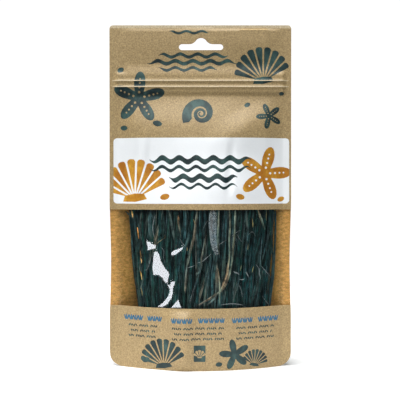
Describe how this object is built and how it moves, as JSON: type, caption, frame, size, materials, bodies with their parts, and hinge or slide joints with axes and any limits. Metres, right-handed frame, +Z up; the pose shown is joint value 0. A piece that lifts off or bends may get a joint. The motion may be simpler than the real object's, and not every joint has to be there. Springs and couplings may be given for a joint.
{
  "type": "stand-up pouch of dried sea spaghetti",
  "caption": "Kraft stand-up pouch with a window, zip and hang slot, filled with long dried sea spaghetti strands.",
  "frame": {"origin": "on the floor under the middle of the standing pouch", "axes": "+Z up along the pouch's height, the window faces -Y, the width runs along X"},
  "size_m": [0.13, 0.0443, 0.244],
  "materials": {
    "kraft": "matt brown kraft paper laminate, printed in dark teal",
    "window_film": "clear glossy film",
    "zip_plastic": "milky extruded plastic",
    "dried_seaweed": "dried, leathery, near-black green with a dull sheen"
  },
  "bodies": {
    "root": {"back_kraft": "kraft", "base_gusset": "kraft", "front_kraft_lower": "kraft", "front_kraft_upper": "kraft", "strand_01": "dried_seaweed", "strand_02": "dried_seaweed", "strand_03": "dried_seaweed", "strand_04": "dried_seaweed", "strand_05": "dried_seaweed", "strand_06": "dried_seaweed", "strand_07": "dried_seaweed", "strand_08": "dried_seaweed", "strand_09": "dried_seaweed", "strand_10": "dried_seaweed", "strand_11": "dried_seaweed", "strand_12": "dried_seaweed", "strand_13": "dried_seaweed", "strand_14": "dried_seaweed", "strand_15": "dried_seaweed", "strand_16": "dried_seaweed", "strand_17": "dried_seaweed", "strand_18": "dried_seaweed", "strand_19": "dried_seaweed", "strand_20": "dried_seaweed", "strand_21": "dried_seaweed", "strand_22": "dried_seaweed", "strand_23": "dried_seaweed", "strand_24": "dried_seaweed", "strand_25": "dried_seaweed", "strand_26": "dried_seaweed", "strand_27": "dried_seaweed", "strand_28": "dried_seaweed", "strand_29": "dried_seaweed", "strand_30": "dried_seaweed", "strand_31": "dried_seaweed", "strand_32": "dried_seaweed", "strand_33": "dried_seaweed", "strand_34": "dried_seaweed", "strand_35": "dried_seaweed", "strand_36": "dried_seaweed", "strand_37": "dried_seaweed", "strand_38": "dried_seaweed", "strand_39": "dried_seaweed", "strand_40": "dried_seaweed", "strand_41": "dried_seaweed", "strand_42": "dried_seaweed", "strand_43": "dried_seaweed", "strand_44": "dried_seaweed", "strand_45": "dried_seaweed", "strand_46": "dried_seaweed", "window_film": "window_film", "zip_groove_strip": "zip_plastic", "zip_rib_strip": "zip_plastic"}
  },
  "joints": []
}
